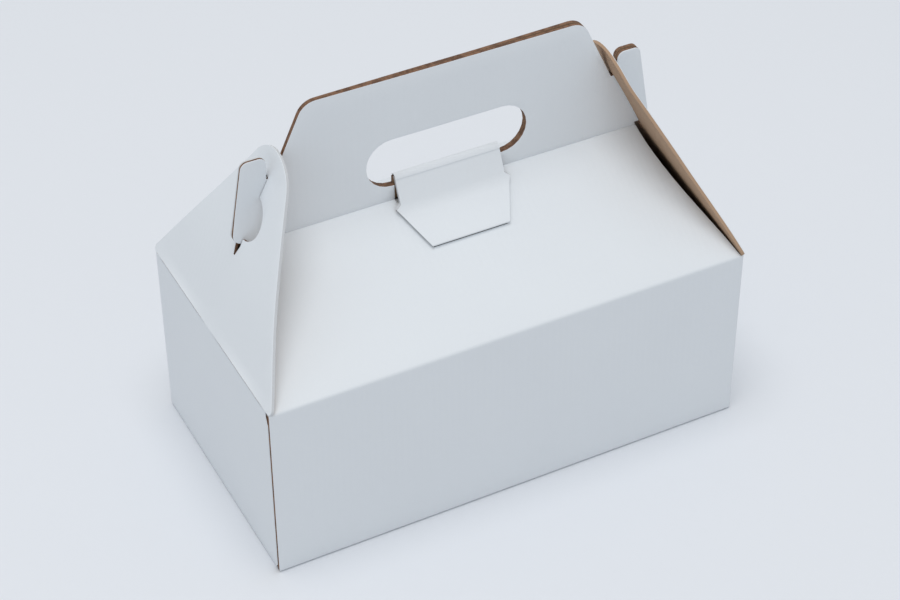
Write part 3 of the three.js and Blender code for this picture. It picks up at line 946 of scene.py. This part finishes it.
def crease_skin(name, path, view, axis, half):
    """A thin strip of liner along a fold, settled in place with the sheet."""
    outline = []
    for index, point in enumerate(path):
        before = path[max(index - 1, 0)]
        after = path[min(index + 1, len(path) - 1)]
        run = (after - before).normalized()
        outline.append((point, Vector((run.y, -run.x))))
    last = len(path) - 1
    outer = [point + out * CREASE_SKIN * math.sin(math.pi * index / last)
             for index, (point, out) in enumerate(outline)]
    inner = [point - out * CREASE_DEPTH for point, out in reversed(outline)]
    strip = prism(name, outer + inner, view, -half, half, white)
    bisect_every(strip, axis, -half, half)
    settle(strip)
    make_active(strip)
    bpy.ops.object.shade_smooth_by_angle(angle=CREASE_SMOOTHING)
    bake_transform(strip)


def flap_creases():
    half = HALF_WIDTH - GAP_WIDTH
    for side, turn in (("right", 1), ("left", -1)):
        path = []
        for step in range(-ARC_STEPS, ARC_STEPS + 1):
            run = CREASE_REACH * step / ARC_STEPS
            if run > 0:
                point = bent_flap(Vector((0, 0, run)))
            else:
                point = Vector((HALF_LENGTH, 0, WALL_TOP + run))
            path.append(Vector((turn * point.x, point.z)))
        if turn < 0:
            path.reverse()
        crease_skin(f"{side}_fold_liner", path, front_view, Y, half)


def tongue_crease():
    """The rounded crest where the tongue folds forward out of the back panel."""
    low = Vector((PANEL_HALF, ROOT - BOARD))
    front = TONGUE_FOLD + STEEP_OUT * BOARD
    end = front + STEEP * BOARD
    controls = (low, low + Vector((0, CREST_RISE)), front - STEEP * BOARD, end)
    path = curve(controls, 3 * ARC_STEPS)
    path.reverse()
    crease_skin("tongue_fold_liner", path, end_view, X, NECK_HALF)


# Floor, light and camera

CAMERA_PLACE = (-0.3938, -0.7701, 0.7806)
CAMERA_AZIMUTH = math.radians(27.10)
CAMERA_ELEVATION = math.radians(39.553)
CAMERA_ROLL = math.radians(-0.30)
CAMERA_LENS = 95.47
SENSOR_WIDTH = 36
FLOOR_SIZE = 12
FLOOR_DROP = 0.0001
FLOOR_COLOUR = (0.765, 0.79, 0.83, 1)
FLOOR_ROUGHNESS = 0.9
FLOOR_SPECULAR = 0.1
SKY_COLOUR = (0.96, 0.98, 1, 1)
SKY_STRENGTH = 0.635
LAMP_PLACE = (-0.25, -0.25, 2.4)
LAMP_SIZE = 1.5
LAMP_POWER = 23


def plain_floor():
    bpy.ops.object.select_all(action="DESELECT")
    bpy.ops.mesh.primitive_plane_add(size=FLOOR_SIZE, location=(0, 0, -FLOOR_DROP))
    floor = bpy.context.object
    floor.name = "floor"
    material = bpy.data.materials.new("pale_floor")
    material.use_nodes = True
    shader = material.node_tree.nodes["Principled BSDF"]
    shader.inputs["Base Color"].default_value = FLOOR_COLOUR
    shader.inputs["Roughness"].default_value = FLOOR_ROUGHNESS
    shader.inputs["Specular IOR Level"].default_value = FLOOR_SPECULAR
    floor.data.materials.append(material)


def soft_lamp(name, place, size, power):
    light = bpy.data.lights.new(name, "AREA")
    light.shape = "DISK"
    light.size = size
    light.energy = power
    lamp = bpy.data.objects.new(name, light)
    bpy.context.scene.collection.objects.link(lamp)
    lamp.location = place
    lamp.rotation_euler = (-Vector(place)).to_track_quat("-Z", "Y").to_euler()


def studio():
    world = bpy.data.worlds.new("studio")
    bpy.context.scene.world = world
    world.use_nodes = True
    sky = world.node_tree.nodes["Background"]
    sky.inputs["Color"].default_value = SKY_COLOUR
    sky.inputs["Strength"].default_value = SKY_STRENGTH
    soft_lamp("overhead", LAMP_PLACE, LAMP_SIZE, LAMP_POWER)
    camera = bpy.data.cameras.new("photo_view")
    camera.lens = CAMERA_LENS
    camera.sensor_width = SENSOR_WIDTH
    holder = bpy.data.objects.new("photo_view", camera)
    bpy.context.scene.collection.objects.link(holder)
    turn = (Matrix.Rotation(-CAMERA_AZIMUTH, 4, "Z")
            @ Matrix.Rotation(math.pi / 2 - CAMERA_ELEVATION, 4, "X")
            @ Matrix.Rotation(CAMERA_ROLL, 4, "Z"))
    holder.matrix_world = Matrix.Translation(CAMERA_PLACE) @ turn
    bpy.context.scene.camera = holder
    bpy.context.scene.view_settings.view_transform = "Standard"


folded_sheet()
glue_tab()
end_flap("right", RIGHT_STRIP, kraft)
end_flap("left", LEFT_STRIP, crushed)
locking_tongue()
flap_creases()
tongue_crease()
plain_floor()
studio()
